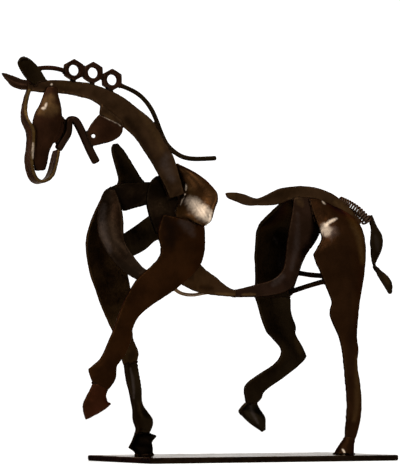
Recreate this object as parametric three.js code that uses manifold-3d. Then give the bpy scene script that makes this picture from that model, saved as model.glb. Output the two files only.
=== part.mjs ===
// A prancing horse welded from scrap: cut sheet, bent bar, three nuts and a coil spring on a steel plate.
// Millimetres, +Z up. The head points along -X and the horse's left side faces -Y.
// The origin is the middle of the base plate's underside.

import * as THREE from 'three';
import { mergeVertices } from 'three/addons/utils/BufferGeometryUtils.js';
import Module from 'manifold-3d';

// Driving dimensions
const BASE = { length: 250, width: 128, thick: 5, corner: 3 };
const SHEET = 3;            // gauge of the cut sheet in legs, neck and straps
const THIN = 2.2;           // gauge of the head, ears and tail
const HOOF = 4;             // gauge of the hooves and of the cannon bar
const JAW_ROD = 3.3;        // radius of the bent jaw rod
const MANE_ROD = 1.9;       // radius of the mane rods
const BELLY_ROD = 1.5;      // radius of the rod under the belly
const TIE_ROD = 2.1;        // radius of the rods between the thighs
const NUT = { flats: 17, thick: 7, bore: 10.4 };    // M10, bored out to the root of the thread
const SPRING = { radius: 4.2, wire: 0.9, turns: 14, stepsPerTurn: 7 };
const THROAT_HOLE = { radius: 2.3, x: -150.5, z: 285.5 };
const HEAD_TURN = 10;       // degrees that the neck and head turn to the horse's right
const WITHERS = { x: -75, y: -10 };                 // the upright line that they turn about
const JOINT_GAP = 0.35;     // left between pieces where they are welded
const FLOOR = BASE.thick + JOINT_GAP;

const FINISHES = {
  brown: { color: 0x2b1a10, roughness: 0.45, metalness: 0.85 },
  black: { color: 0x17110d, roughness: 0.5, metalness: 0.85 },
  bronze: { color: 0x4a2f1a, roughness: 0.34, metalness: 0.95 },
  fastener: { color: 0x2e1c14, roughness: 0.42, metalness: 0.9 },
  base: { color: 0x261a13, roughness: 0.5, metalness: 0.85 },
};

const vec = (x = 0, y = 0, z = 0) => new THREE.Vector3(x, y, z);
const wasm = await Module();
wasm.setup();

// Solids from three.js geometry and back

function solidFrom(geometry) {
  const bare = geometry.clone();
  for (const name of Object.keys(bare.attributes)) {
    if (name !== 'position') bare.deleteAttribute(name);
  }
  const merged = mergeVertices(bare, 1e-4);
  const index = merged.index.array;
  const triangles = [];
  for (let i = 0; i < index.length; i += 3) {
    const [a, b, c] = [index[i], index[i + 1], index[i + 2]];
    if (a !== b && b !== c && c !== a) triangles.push(a, b, c);
  }
  const places = merged.attributes.position;
  if (signedVolume(places, triangles) < 0) triangles.reverse();
  return new wasm.Manifold(new wasm.Mesh({
    numProp: 3,
    vertProperties: Float32Array.from(places.array),
    triVerts: Uint32Array.from(triangles),
  }));
}

function signedVolume(places, triangles) {
  const [a, b, c] = [vec(), vec(), vec()];
  let volume = 0;
  for (let i = 0; i < triangles.length; i += 3) {
    a.fromBufferAttribute(places, triangles[i]);
    b.fromBufferAttribute(places, triangles[i + 1]);
    c.fromBufferAttribute(places, triangles[i + 2]);
    volume += a.dot(b.cross(c)) / 6;
  }
  return volume;
}

function geometryFrom(solid) {
  const mesh = solid.getMesh();
  const geometry = new THREE.BufferGeometry();
  geometry.setAttribute('position', new THREE.BufferAttribute(mesh.vertProperties, 3));
  geometry.setIndex(new THREE.BufferAttribute(mesh.triVerts, 1));
  geometry.computeVertexNormals();
  return geometry;
}

// Where a cut leaves crumbs, the piece is its largest body.
function largestBody(solid) {
  const bodies = solid.decompose();
  return bodies.reduce((best, body) => (body.volume() > best.volume() ? body : best));
}

// Shapes: each can be grown all round, to cut the room that it needs from a neighbour

// Rows of a sheet that stands fore and aft: front edge x z, rear edge x z, and the y of both.
const upright = (rows) => rows.map(([xa, za, xb, zb, y]) => [vec(xa, y, za), vec(xb, y, zb)]);

// Rows of a sheet that crosses from side to side: one edge's x y z, then the other's.
const crossing = (rows) => rows.map(([xa, ya, za, xb, yb, zb]) => [vec(xa, ya, za), vec(xb, yb, zb)]);

// Rows of a bar bent in the plane at y, lying across it: x and z of its middle, and its width.
const athwart = (y, rows) => rows.map(([x, z, width]) => [vec(x, y - width / 2, z), vec(x, y + width / 2, z)]);

// How far a sheet stands out from its edges: place across it, and share of its crown.
const SECTIONS = {
  flat: [[0, 0], [1, 0]],
  folded: [[0, 0], [0.5, 1], [1, 0]],
  rolled: [[0, 0], [0.2, 0.64], [0.5, 1], [0.8, 0.64], [1, 0]],
};

// A piece of sheet between two edges, each a smooth curve through its rows. It stands out by crown at its
// widest, and less where it is narrow.
function sheet(rows, { gauge = SHEET, section = 'folded', crown = 0, steps = 2 }, grow) {
  const edges = [0, 1].map((side) => new THREE.CatmullRomCurve3(rows.map((row) => row[side])));
  const count = (rows.length - 1) * steps;
  const widest = Math.max(...rows.map(([a, b]) => a.distanceTo(b)));
  const rings = [];
  for (let i = 0; i <= count; i += 1) {
    const at = i / count;
    const [a, b] = edges.map((edge) => edge.getPoint(at));
    const run = edges[0].getTangent(at).add(edges[1].getTangent(at)).normalize();
    const wide = b.clone().sub(a).normalize();
    const out = run.clone().cross(wide).normalize();
    const rise = (crown * a.distanceTo(b)) / widest;
    const past = (i === count) * grow - (i === 0) * grow;
    a.addScaledVector(wide, -grow).addScaledVector(run, past);
    b.addScaledVector(wide, grow).addScaledVector(run, past);
    const face = (offset) => SECTIONS[section].map(([place, share]) => (
      a.clone().lerp(b, place).addScaledVector(out, share * rise + offset)
    ));
    rings.push([...face(gauge / 2 + grow), ...face(-gauge / 2 - grow).reverse()]);
  }
  return loft(rings);
}

// Joins closed rings of points into one skin, and closes its two ends.
function loft(rings) {
  const size = rings[0].length;
  const last = (rings.length - 1) * size;
  const triangles = [];
  for (let i = 0; i < last; i += size) {
    for (let j = 0; j < size; j += 1) {
      const k = (j + 1) % size;
      triangles.push(i + j, i + k, i + size + k, i + j, i + size + k, i + size + j);
    }
  }
  for (let j = 0; j < size / 2 - 1; j += 1) {
    const back = size - 1 - j;
    triangles.push(j, back, back - 1, j, back - 1, j + 1);
    triangles.push(last + j, last + back - 1, last + back, last + j, last + j + 1, last + back - 1);
  }
  const places = rings.flat().flatMap((point) => point.toArray());
  const geometry = new THREE.BufferGeometry();
  geometry.setAttribute('position', new THREE.Float32BufferAttribute(places, 3));
  geometry.setIndex(triangles);
  return geometry;
}

// A round rod through points x y z.
function rod(points, radius, { sides = 6, steps = 16 }, grow) {
  const extrudePath = new THREE.CatmullRomCurve3(points.map((point) => vec(...point)));
  const section = new THREE.Shape().absarc(0, 0, radius + grow, 0, 2 * Math.PI);
  const curveSegments = sides / 2;
  return new THREE.ExtrudeGeometry(section, { extrudePath, steps, curveSegments, bevelEnabled: false });
}

// A hexagon nut standing on a corner, its bore across the horse. Grown, it has no bore.
function nut(x, y, z, grow) {
  const corner = (NUT.flats / 2 + grow) / Math.cos(Math.PI / 6);
  const depth = NUT.thick + 2 * grow;
  const turns = [0, 1, 2, 3, 4, 5].map((side) => Math.PI / 6 + (side * Math.PI) / 3);
  const corners = turns.map((turn) => new THREE.Vector2(Math.cos(turn), Math.sin(turn)).multiplyScalar(corner));
  const outline = new THREE.Shape(corners);
  if (!grow) outline.holes.push(new THREE.Path().absarc(0, 0, NUT.bore / 2, 0, 2 * Math.PI, true));
  const geometry = new THREE.ExtrudeGeometry(outline, { depth, curveSegments: 8, bevelEnabled: false });
  return geometry.translate(0, 0, -depth / 2).rotateX(Math.PI / 2).translate(x, y, z);
}

// A coil spring wound round a curve through points x y z that share one y.
function spring(points, grow) {
  const axis = new THREE.CatmullRomCurve3(points.map((point) => vec(...point)));
  const aside = vec(0, 1, 0);
  const steps = SPRING.turns * SPRING.stepsPerTurn;
  const wire = [];
  for (let i = 0; i <= steps; i += 1) {
    const turn = (2 * Math.PI * i) / SPRING.stepsPerTurn;
    const up = aside.clone().cross(axis.getTangent(i / steps));
    const point = axis.getPoint(i / steps);
    point.addScaledVector(aside, SPRING.radius * Math.cos(turn));
    point.addScaledVector(up, SPRING.radius * Math.sin(turn));
    wire.push(point.toArray());
  }
  return rod(wire, SPRING.wire, { sides: 4, steps }, grow);
}

// The horse: each piece gives way to the pieces added before it
const horse = new THREE.Group();
const rooms = [];

const BODY = new THREE.Matrix4();
const HEAD = new THREE.Matrix4()
  .makeTranslation(WITHERS.x, WITHERS.y, 0)
  .multiply(new THREE.Matrix4().makeRotationZ(THREE.MathUtils.degToRad(-HEAD_TURN)))
  .multiply(new THREE.Matrix4().makeTranslation(-WITHERS.x, -WITHERS.y, 0));

function add(name, finish, make, place, hole) {
  const build = (grow) => make(grow)
    .map((geometry) => solidFrom(geometry.applyMatrix4(place)))
    .reduce((all, solid) => all.add(solid));
  let solid = build(0);
  if (hole) solid = solid.subtract(solidFrom(hole.applyMatrix4(place)));
  for (const room of rooms) solid = solid.subtract(room);
  const mesh = new THREE.Mesh(geometryFrom(largestBody(solid)), new THREE.MeshStandardMaterial(FINISHES[finish]));
  mesh.name = name;
  horse.add(mesh);
  rooms.push(build(JOINT_GAP));
}

const addSheet = (name, finish, place, rows, options, hole) => (
  add(name, finish, (grow) => [sheet(rows, options, grow)], place, hole)
);
const addRod = (name, finish, place, radius, steps, points) => (
  add(name, finish, (grow) => [rod(points, radius, { steps }, grow)], place)
);

// Base plate, with its corners just broken
function basePlate(grow) {
  const [x, y, r] = [BASE.length / 2 + grow, BASE.width / 2 + grow, BASE.corner];
  const outline = new THREE.Shape()
    .absarc(x - r, y - r, r, 0, Math.PI / 2)
    .absarc(r - x, y - r, r, Math.PI / 2, Math.PI)
    .absarc(r - x, r - y, r, Math.PI, 1.5 * Math.PI)
    .absarc(x - r, r - y, r, 1.5 * Math.PI, 2 * Math.PI);
  return new THREE.ExtrudeGeometry(outline, { depth: BASE.thick + grow, curveSegments: 2, bevelEnabled: false });
}
add('base_plate', 'base', (grow) => [basePlate(grow)], BODY);

// Neck: one strap from the poll over the crest to the withers, with a tab left standing at the throat
const NECK_ROWS = upright([
  [-209, 330, -209, 324, -10],
  [-193, 333, -193, 323, -10],
  [-178, 334, -183, 323, -10],
  [-166, 333, -171, 322, -10],
  [-153, 332, -160, 320, -10],
  [-143, 329, -149, 317, -10],
  [-131, 325, -140, 311, -10],
  [-120, 319, -131, 304, -10],
  [-109, 311, -122, 295, -10],
  [-98, 303, -112, 287, -10],
  [-90, 294, -104, 276, -10],
  [-84, 283, -96, 265, -10],
  [-78, 273, -90, 254, -11],
  [-73, 258, -84, 243, -12],
  [-67, 236, -80, 232, -13],
]);
const THROAT_TAB_ROWS = upright([
  [-143, 313, -125, 300, -11],
  [-144, 304, -123, 294, -11],
]);
add('neck_strap', 'brown', (grow) => [
  sheet(NECK_ROWS, { crown: 2 }, grow),
  sheet(THROAT_TAB_ROWS, { section: 'flat', steps: 1 }, grow),
], HEAD);

// Mane: a rod from the ear, three nuts along the crest, and a rod sweeping down to the withers
const MANE_NUTS = {
  mane_nut_front: [-167.6, -10, 343.3],
  mane_nut_middle: [-150.2, -10, 341.5],
  mane_nut_rear: [-132.8, -10, 335.9],
};
for (const [name, place] of Object.entries(MANE_NUTS)) {
  add(name, 'fastener', (grow) => [nut(...place, grow)], HEAD);
}

addRod('mane_rod_rear', 'black', HEAD, MANE_ROD, 22, [
  [-127, -10, 332], [-117, -10, 328.5], [-108, -10, 324], [-100.5, -10, 317], [-95, -10, 309],
  [-91, -10, 300], [-87, -10, 290], [-82, -10, 280], [-77, -11, 275], [-70, -12, 270], [-62, -12, 268],
  [-50, -12, 268], [-37, -12, 269],
]);

// Ears: two leaves cut from thin sheet and dished
addSheet('left_ear', 'black', HEAD, crossing([
  [-203, -12, 329, -193, -10, 333],
  [-211, -17, 333, -198, -15, 340],
  [-218, -20, 341, -204, -18, 346],
  [-221, -22, 347, -211, -20, 351],
  [-218, -23, 351, -215, -23, 351],
]), { gauge: THIN, section: 'rolled', crown: 2 });

addSheet('right_ear', 'brown', HEAD, crossing([
  [-200, -8, 334, -201, -9, 326],
  [-210, 0, 334, -212, -2, 326],
  [-217, 4, 337, -220, 3, 329],
  [-224, 8, 340, -224, 8, 335],
  [-227, 11, 341, -227, 11, 340],
]), { gauge: THIN, section: 'rolled', crown: -2 });

addRod('mane_rod_front', 'fastener', HEAD, MANE_ROD, 8, [
  [-205, -17, 342], [-197, -12, 344], [-188, -10, 344.7], [-182, -10, 344], [-174, -10, 342],
]);

// Head: a bar bent round the muzzle, the jaw rod, a face sheet, a cheek and a throat
addSheet('muzzle_bar', 'bronze', HEAD, athwart(-10, [
  [-208, 325, 9],
  [-211, 316, 9],
  [-212.6, 305, 12],
  [-211.6, 298, 20],
  [-207, 290, 24],
  [-206, 282, 21],
  [-207, 272, 22],
  [-208, 263, 22],
  [-207, 255, 21],
  [-203, 246, 20],
  [-197, 244, 19],
  [-190, 248, 20],
  [-186, 258, 21],
  [-183, 272, 18],
]), { gauge: THIN, section: 'flat' });

addRod('jaw_rod', 'brown', HEAD, JAW_ROD, 18, [
  [-181, -9, 274], [-177, -9, 280.5], [-172, -9, 289], [-172, -9, 297], [-169, -9, 301.5], [-165, -9, 298.5],
  [-159, -10, 287], [-153, -10, 274], [-147, -10, 263],
]);

addSheet('face_sheet', 'bronze', HEAD, upright([
  [-192, 327, -184, 327, -13],
  [-196, 320, -183, 320, -14],
  [-199, 312, -181, 311, -15],
  [-204, 303, -180, 302, -15],
  [-206, 293, -181, 292, -15],
  [-205, 282, -186, 281, -15],
  [-205, 270, -192, 270, -15],
  [-205, 261, -193, 262, -15],
  [-203, 254, -195, 255, -14],
]), { gauge: THIN, section: 'rolled', crown: 5 });

addSheet('cheek_sheet', 'black', HEAD, crossing([
  [-184, -14.5, 304, -177, -8, 302],
  [-187, -14.5, 297, -174, -8, 296],
  [-190, -14.5, 287, -173, -8, 290],
  [-193, -14.5, 276, -178, -9, 281],
]), { gauge: THIN, section: 'rolled', crown: -3 });

const throatHole = new THREE.CylinderGeometry(THROAT_HOLE.radius, THROAT_HOLE.radius, 20, 10);
throatHole.translate(THROAT_HOLE.x, WITHERS.y, THROAT_HOLE.z);
addSheet('throat_sheet', 'brown', HEAD, upright([
  [-145, 304, -124, 295, -12],
  [-151, 297, -124, 290, -12],
  [-156, 288, -129, 284, -12],
  [-154, 281, -138, 280, -12],
  [-151, 277, -146, 278, -12],
]), { gauge: THIN, section: 'rolled', crown: 3 }, throatHole);

// Chest: shoulder blades, the plate that ties them, the shoulder cap and two straps
addSheet('left_shoulder_blade', 'black', BODY, crossing([
  [-91, -2, 251, -73, -4, 256],
  [-97, -3, 243, -71, -5, 247],
  [-100, -5, 229, -70, -8, 235],
  [-100, -12, 214, -74, -16, 220],
  [-100, -24, 200, -81, -24, 207],
]), { section: 'rolled', crown: 2 });

addSheet('right_shoulder_blade', 'black', BODY, upright([
  [-120, 281, -116, 281.5, 20],
  [-122, 277, -112, 277.5, 20],
  [-118, 266, -104, 269, 22],
  [-114, 255, -96, 258, 23],
  [-113, 249, -91, 250, 22],
  [-118, 242, -87, 246, 21],
]), { section: 'rolled', crown: -3 });

addSheet('chest_plate', 'black', BODY, crossing([
  [-125, 24, 240, -119, 22, 244],
  [-117, 21, 232, -106, 19, 247],
  [-112, 17, 222, -95, 10, 247],
  [-103, 11, 225, -84, 3, 246],
  [-92, -2, 229, -75, -5, 240],
]), { crown: 3 });

addSheet('shoulder_cap', 'bronze', BODY, crossing([
  [-72, -2, 263, -66, -4, 262],
  [-71, -5, 256, -54, -14, 255],
  [-67, -7, 247, -46, -24, 245],
  [-67, -9, 237, -43, -33, 234],
  [-74, -16, 225, -50, -38, 222],
  [-79, -22, 215, -55, -41, 211],
  [-72, -30, 210, -63, -40, 207],
]), { section: 'rolled', crown: 6 });

// Forelegs: the left one lifted, the right one on the plate
addSheet('left_foreleg', 'brown', BODY, upright([
  [-97, 216, -57, 207, -31],
  [-102, 199, -56, 194, -31],
  [-98, 185, -57, 183, -31],
  [-102, 176, -61, 172, -30],
  [-111, 168, -74, 159, -29],
  [-119, 161, -89, 148, -28],
  [-127, 150, -109, 136, -27],
  [-135, 134, -122, 124, -26],
  [-142, 116, -126, 112, -26],
  [-148, 104, -127, 104, -26],
  [-153, 93, -134, 91, -26],
  [-157, 88, -140, 85, -26],
  [-166, 81, -141, 80, -26],
  [-165, 76, -141, 73, -26],
  [-162, 69, -149, 63, -26],
]), { section: 'rolled', crown: 5 });

addSheet('left_fore_hoof', 'brown', BODY, upright([
  [-162, 69, -149, 63, -26],
  [-165, 63, -151, 59, -26],
  [-169, 56, -150, 55, -26],
  [-172, 49, -147, 52, -26],
  [-169, 38, -146, 51, -26],
]), { section: 'rolled', crown: 6 });

addSheet('right_foreleg', 'black', BODY, upright([
  [-125, 240, -119, 243, 26],
  [-134, 222, -118, 226, 27],
  [-141, 204, -114, 208, 28],
  [-143, 190, -109, 190, 28],
  [-140, 170, -104, 171, 28],
  [-133, 151, -100, 155, 28],
  [-125, 131, -98, 133, 27],
  [-118, 117, -99, 117, 26],
  [-112, 103, -98, 106, 25],
  [-109, 93, -93, 97, 25],
  [-107, 86, -95, 88, 25],
]), { crown: -5 });

addSheet('right_cannon', 'black', BODY, upright([
  [-106, 87, -95, 89, 25],
  [-104.7, 75, -92.3, 75, 25],
  [-101.8, 64, -90, 63, 25],
  [-98.8, 53, -90, 52, 25],
  [-97.5, 44, -85.2, 45, 25],
  [-97, 36, -78.2, 36, 25],
  [-94, 29, -80, 29, 25],
  [-95, 25, -82, 25, 25],
]), { gauge: HOOF, crown: -4 });

addSheet('right_fore_hoof', 'black', BODY, upright([
  [-95, 25, -82, 25, 25],
  [-97, 22, -75, 22, 25],
  [-99, 17, -80, 17, 25],
  [-102, 12, -79, 12, 25],
  [-96, 8, -79, 8, 25],
  [-95, FLOOR, -78, FLOOR, 25],
]), { gauge: HOOF, section: 'rolled', crown: -7 });

addSheet('breast_strap', 'brown', BODY, crossing([
  [-128, 22, 238, -120, 18, 240],
  [-135, 17, 225, -119, 10, 228],
  [-140, 11, 213, -119, 3, 214],
  [-142, 5, 199, -122, -3, 200],
  [-139, -2, 186, -123, -10, 190],
  [-133, -10, 174, -120, -17, 181],
  [-125, -18, 164, -115, -24, 171],
  [-116, -25, 158, -112, -27, 168],
]), { crown: 3 });

addSheet('cross_strap', 'black', BODY, crossing([
  [-83, -10, 224, -88, -12, 197],
  [-93, 0, 218, -91, -2, 195],
  [-102, 10, 209, -94, 7, 188],
  [-110, 21, 201, -105, 18, 181],
  [-119, 31, 194, -113, 31, 175],
]), { section: 'flat' });

// Back: the croup strap from the loin to the dock
addSheet('croup_strap', 'brown', BODY, upright([
  [-18.5, 239.5, -15.5, 235.3, -1],
  [-8, 240.2, -6, 232.2, -1],
  [3, 238, 4, 229.3, -1],
  [14, 235, 15, 230, -1],
  [24, 239, 27, 230, -1],
  [34, 244, 38, 232, -2],
  [47, 247, 47, 236, -2],
  [62, 248, 61, 237, -3],
  [78, 246, 74, 237, -4],
  [92, 241, 84, 233, -4],
  [104, 233, 95, 226, -5],
  [113, 225, 104, 218, -5],
  [121, 216, 111, 211, -5],
]), { crown: 1.5 });

// Belly: the flank strap sweeps down from the croup and forward, and the girth strap meets it
addSheet('flank_strap', 'brown', BODY, crossing([
  [51, -3, 237, 69, -4, 237],
  [49, -4, 226, 74, -7, 226],
  [46.5, -5, 216, 76, -9, 213],
  [43.5, -5, 201, 71, -9, 199],
  [42, -5, 190, 61, -8, 187],
  [41.5, -4, 179, 56, -6, 175],
  [39, -4, 171, 52, -5, 163],
  [32, -3, 164, 43, -4, 153],
  [22, -3, 160, 28, -3, 149],
  [10, -2, 157, 12, -2, 147],
  [-2, -3, 154, -2, -3, 146.5],
  [-13, -4, 152, -14, -4, 146.5],
]), { crown: 3 });

addSheet('girth_strap', 'brown', BODY, crossing([
  [-62, -27, 176, -76, -26, 156],
  [-50, -22, 169, -58, -19, 150],
  [-35, -15, 162, -40, -12, 148],
  [-20, -9, 154, -24, -8, 147],
  [-12, -6, 152, -12, -6, 146.5],
]), { crown: 2 });

addRod('belly_rod', 'bronze', BODY, BELLY_ROD, 8, [
  [-84, -27, 152], [-70, -15, 148], [-57, -11, 147], [-45, -8, 149], [-32, -7, 151],
]);

// Hind legs: the left one on the plate, the right one lifted
addSheet('left_hind_leg', 'brown', BODY, upright([
  [65, 236, 84, 233, -6],
  [67, 224, 98, 226, -10],
  [69, 211, 107, 219, -16],
  [70, 199, 112, 208, -22],
  [59, 185, 113, 188, -25],
  [65, 171, 111, 170, -26],
  [73, 153, 108, 154, -26],
  [78, 142, 105, 141, -26],
  [75, 134, 104, 130, -26],
  [77, 126, 103, 119, -26],
  [85, 111, 102.3, 108, -26],
  [88, 99, 104.5, 100, -26],
  [90, 86, 102.3, 88, -26],
  [91.3, 72, 105.3, 72, -26],
  [93, 56, 107, 56, -26],
  [93, 43, 107, 43, -26],
  [92, 29, 104, 27, -25],
  [92, 20, 100, 17, -25],
]), { section: 'rolled', crown: 6 });

addSheet('left_hind_hoof', 'brown', BODY, upright([
  [92, 21, 100, 18, -25],
  [86, 14, 100, 11, -25],
  [80, FLOOR, 100, FLOOR, -25],
]), { gauge: HOOF, section: 'rolled', crown: 7, steps: 3 });

addSheet('right_thigh', 'black', BODY, upright([
  [44, 236, 62, 238, 0.5],
  [37, 228, 64, 230, 4],
  [32, 220, 68, 222, 12],
  [27, 211, 76, 210, 21],
  [27, 197, 77, 195, 24],
  [26, 183, 74, 180, 24],
  [27, 167, 70, 166, 24],
  [26, 148, 62, 148, 24],
]), { section: 'rolled', crown: -5 });

addSheet('right_hind_leg', 'black', BODY, upright([
  [26, 149, 62, 149, 24],
  [32, 131, 63, 132, 24],
  [37, 118, 68, 121, 24],
  [39, 115, 67, 115, 24],
  [49, 106, 72, 107, 24],
  [54, 99, 79, 94, 24],
  [49, 88, 75, 89, 24],
  [33, 79, 59, 77, 24],
  [20, 71, 44, 68, 24],
  [15, 66, 33, 60, 24],
  [15, 59, 32, 56, 24],
  [17, 51, 27, 51, 24],
]), { crown: -4 });

addSheet('right_hind_hoof', 'black', BODY, upright([
  [17, 52, 27, 52, 24],
  [14, 49, 29, 47, 24],
  [9, 44, 34, 41, 24],
  [16, 36, 36, 36, 24],
  [33, 25, 36, 27, 24],
]), { section: 'rolled', crown: -5 });

// Two rods run from one weld on the left thigh and spread to the right thigh
addRod('thigh_tie_upper', 'black', BODY, TIE_ROD, 4, [[71, -29, 166], [69, -8, 167], [69, 27, 171]]);
addRod('thigh_tie_lower', 'black', BODY, TIE_ROD, 4, [[72, -29, 162], [69, -8, 159], [61, 27, 152]]);

// Tail: a spring lies along the dock, and a twisted strip hangs from its last coil
add('tail_spring', 'fastener', (grow) => [
  spring([[101, 1.5, 236], [111, 1.5, 232.5], [122, 1.5, 226.5], [132, 1.5, 217.5]], grow),
], BODY);

addSheet('tail_strip', 'black', BODY, crossing([
  [133, 1, 223, 136, 1, 224],
  [135, 0, 213, 140, 0, 214],
  [134, -1, 206, 145, -1, 207],
  [133, -2, 198, 146, -2, 198],
  [134, -2, 190, 143, -2, 189],
  [134, -2, 183, 139, -2, 182],
  [137, -4, 177, 137, 0, 176],
  [147, -2, 171, 140, -2, 170],
  [154, -2, 165, 144, -2, 164],
  [156, -2, 159, 149, -2, 157],
  [155, -2, 152, 153, -2, 152],
]), { gauge: THIN, section: 'flat' });

export default horse;
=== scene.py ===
# %% [markdown]
# A prancing horse, about 35 cm tall, is welded from cut and bent scrap: sheet, bar, three nuts and a spring.
# Each piece of scrap is already in the frame at its true size and place, with flat facets and sharp cut
# edges. In this lesson every piece becomes worked steel: softened, dented, torch-cut along its edges and
# lacquered dark.

# %% Load the frame
import math
import random
from itertools import product

import bmesh
import bpy
import numpy as np
from mathutils import Matrix, Vector, bvhtree, kdtree
from mathutils import noise as field


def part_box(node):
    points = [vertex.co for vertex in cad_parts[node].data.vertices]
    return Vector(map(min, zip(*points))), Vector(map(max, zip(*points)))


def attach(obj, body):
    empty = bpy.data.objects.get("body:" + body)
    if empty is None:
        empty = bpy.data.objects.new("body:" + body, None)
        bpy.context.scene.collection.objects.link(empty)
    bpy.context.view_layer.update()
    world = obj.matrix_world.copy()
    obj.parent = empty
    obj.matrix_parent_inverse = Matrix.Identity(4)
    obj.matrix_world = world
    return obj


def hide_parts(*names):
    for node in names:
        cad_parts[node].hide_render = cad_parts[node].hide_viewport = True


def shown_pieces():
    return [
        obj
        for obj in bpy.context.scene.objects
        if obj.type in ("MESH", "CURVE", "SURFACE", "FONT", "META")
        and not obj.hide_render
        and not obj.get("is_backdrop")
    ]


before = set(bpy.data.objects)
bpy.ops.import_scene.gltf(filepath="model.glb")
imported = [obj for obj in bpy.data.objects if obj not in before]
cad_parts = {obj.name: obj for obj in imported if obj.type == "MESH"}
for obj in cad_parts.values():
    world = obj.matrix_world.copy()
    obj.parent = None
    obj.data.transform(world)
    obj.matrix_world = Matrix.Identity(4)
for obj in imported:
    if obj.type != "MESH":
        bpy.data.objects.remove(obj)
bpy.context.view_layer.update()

MM = 0.001

# %% [markdown]
# The camera stands low in front of the horse's left side and looks a little upwards, with a long lens.
# A camera can be aimed with a constraint, but a fixed direction and distance from one aimed point are easier
# to check against a picture. The lens follows from the scale: how many pixels one metre takes at the horse.

# %% Camera
IMAGE_HEIGHT = 465                     # pixels on the picture's long side, with 400 across
SENSOR = 36.0                          # millimetres on the same side
VIEW_TURN = math.radians(28)           # round from the left side towards the head
VIEW_RISE = math.radians(3.1)          # the lens looks up by this much
VIEW_DISTANCE = 2.6
METRES_PER_PIXEL = 0.0009
AIM = Vector((-0.03417, 0.01817, 0.2046))


def aim_camera():
    ahead = Vector((
        math.sin(VIEW_TURN) * math.cos(VIEW_RISE),
        math.cos(VIEW_TURN) * math.cos(VIEW_RISE),
        math.sin(VIEW_RISE),
    ))
    data = bpy.data.cameras.new("camera")
    data.sensor_width = SENSOR
    data.lens = SENSOR * VIEW_DISTANCE / METRES_PER_PIXEL / IMAGE_HEIGHT
    camera = bpy.data.objects.new("camera", data)
    bpy.context.scene.collection.objects.link(camera)
    camera.location = AIM - ahead * VIEW_DISTANCE
    camera.rotation_mode = "QUATERNION"
    camera.rotation_quaternion = ahead.to_track_quat("-Z", "Y")
    bpy.context.scene.camera = camera
    return camera


camera = aim_camera()
print("camera at", [round(x, 3) for x in camera.location], "lens", round(camera.data.lens, 1), "mm")

# %% [markdown]
# The horse stands in a bright white tent. The floor is one large plane, and a white world lights everything
# evenly, so the floor and the air behind it melt into one pale ground. Soft boxes add the glints on the dark
# metal. A standard view transform keeps white as white and lets the darkest steel stay dark.

# %% Floor and light
FLOOR_SIZE = 60.0
FLOOR_DROP = 0.2 * MM                  # keeps the floor clear of the plate's underside
WORLD_STRENGTH = 1.2
WARM = (1, 0.95, 0.88)
SOFT_BOXES = {                         # place and side in metres, power in watts
    "key box": ((-0.10, -0.85, 1.45), 0.45, 9),
    "front box": ((-1.1, -0.6, 1.1), 0.35, 5),
}


def select_only(obj):
    bpy.ops.object.select_all(action="DESELECT")
    obj.select_set(True)
    bpy.context.view_layer.objects.active = obj


def new_material(name):
    material = bpy.data.materials.new(name)
    material.use_nodes = True
    shader = material.node_tree.nodes["Principled BSDF"]
    return material, material.node_tree, shader


def lay_floor():
    bpy.ops.object.select_all(action="DESELECT")
    bpy.ops.mesh.primitive_plane_add(size=FLOOR_SIZE, location=(0, 0, -FLOOR_DROP))
    floor = bpy.context.object
    floor.name = "floor"
    material, _, shader = new_material("pale floor")
    shader.inputs["Base Color"].default_value = (0.86, 0.855, 0.845, 1)
    shader.inputs["Roughness"].default_value = 0.9
    floor.data.materials.append(material)
    floor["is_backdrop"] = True


def soft_box(name, place, side, watts):
    data = bpy.data.lights.new(name, "AREA")
    data.shape = "RECTANGLE"
    data.size, data.size_y = side, side
    data.energy = watts
    data.color = WARM
    lamp = bpy.data.objects.new(name, data)
    bpy.context.scene.collection.objects.link(lamp)
    lamp.location = place
    lamp.rotation_mode = "QUATERNION"
    lamp.rotation_quaternion = (AIM - lamp.location).to_track_quat("-Z", "Y")


def light_tent():
    scene = bpy.context.scene
    world = bpy.data.worlds.new("white tent")
    world.use_nodes = True
    world.node_tree.nodes["Background"].inputs["Color"].default_value = (1, 1, 1, 1)
    world.node_tree.nodes["Background"].inputs["Strength"].default_value = WORLD_STRENGTH
    scene.world = world
    scene.view_settings.view_transform = "Standard"
    for name, (place, side, watts) in SOFT_BOXES.items():
        soft_box(name, Vector(place), side, watts)


lay_floor()
light_tent()
print("floor", FLOOR_SIZE, "m wide, soft boxes:", list(SOFT_BOXES))

# %% [markdown]
# A dark patina has many layers: a nearly black ground, brown stain in clouds, a paler rim where edges are
# rubbed, and heat colours beside the welds. On top lie strokes of painted light and shade: gold tone with
# painted light, a painted grey sheen, soot with painted shade, and painted highlights. All could be painted
# by hand. Noise in the object's own coordinates gives the clouds to every piece alike. Values stored on the
# mesh
# put the other layers in their place: rim, heat, gold_and_painted_light, painted_sheen, soot_and_shade,
# bare, polish.

# %% Patina material
TINTS = {
    "heat": (0.016, 0.0062, 0.0075),
    # a golden-brown tone, laid partly as painted light where surfaces are lit
    "gold_and_painted_light": (0.068, 0.036, 0.0125),
    # a painted sheen: grey reflection streaks along folds and round bars
    "painted_sheen": (0.050, 0.038, 0.033),
    # soot and painted shade: darkening laid where shadow falls, and soot in places
    "soot_and_shade": (0.0036, 0.0016, 0.0007),
    # a painted highlight: cream glints of light on the cap, thigh, face and edges
    "bare": (0.56, 0.45, 0.345),
}
LAYERS = (                             # kind, least cover and most cover
    ("heat", 0.0, 0.6),
    ("gold_and_painted_light", 0.6, 1.0),
    ("painted_sheen", 0.5, 0.9),
    ("soot_and_shade", 0.75, 0.95),
)
CLOUD_SCALE = 38.0                     # clouds of stain, about 26 mm across
MOTTLE_SCALE = 420.0                   # mottling of 2 to 3 mm
GRAIN_SCALE = 2600.0                   # grain of the lacquered skin
ROLLED_SCALE = 900.0                   # marks of the rolls, drawn out along Z
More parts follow.
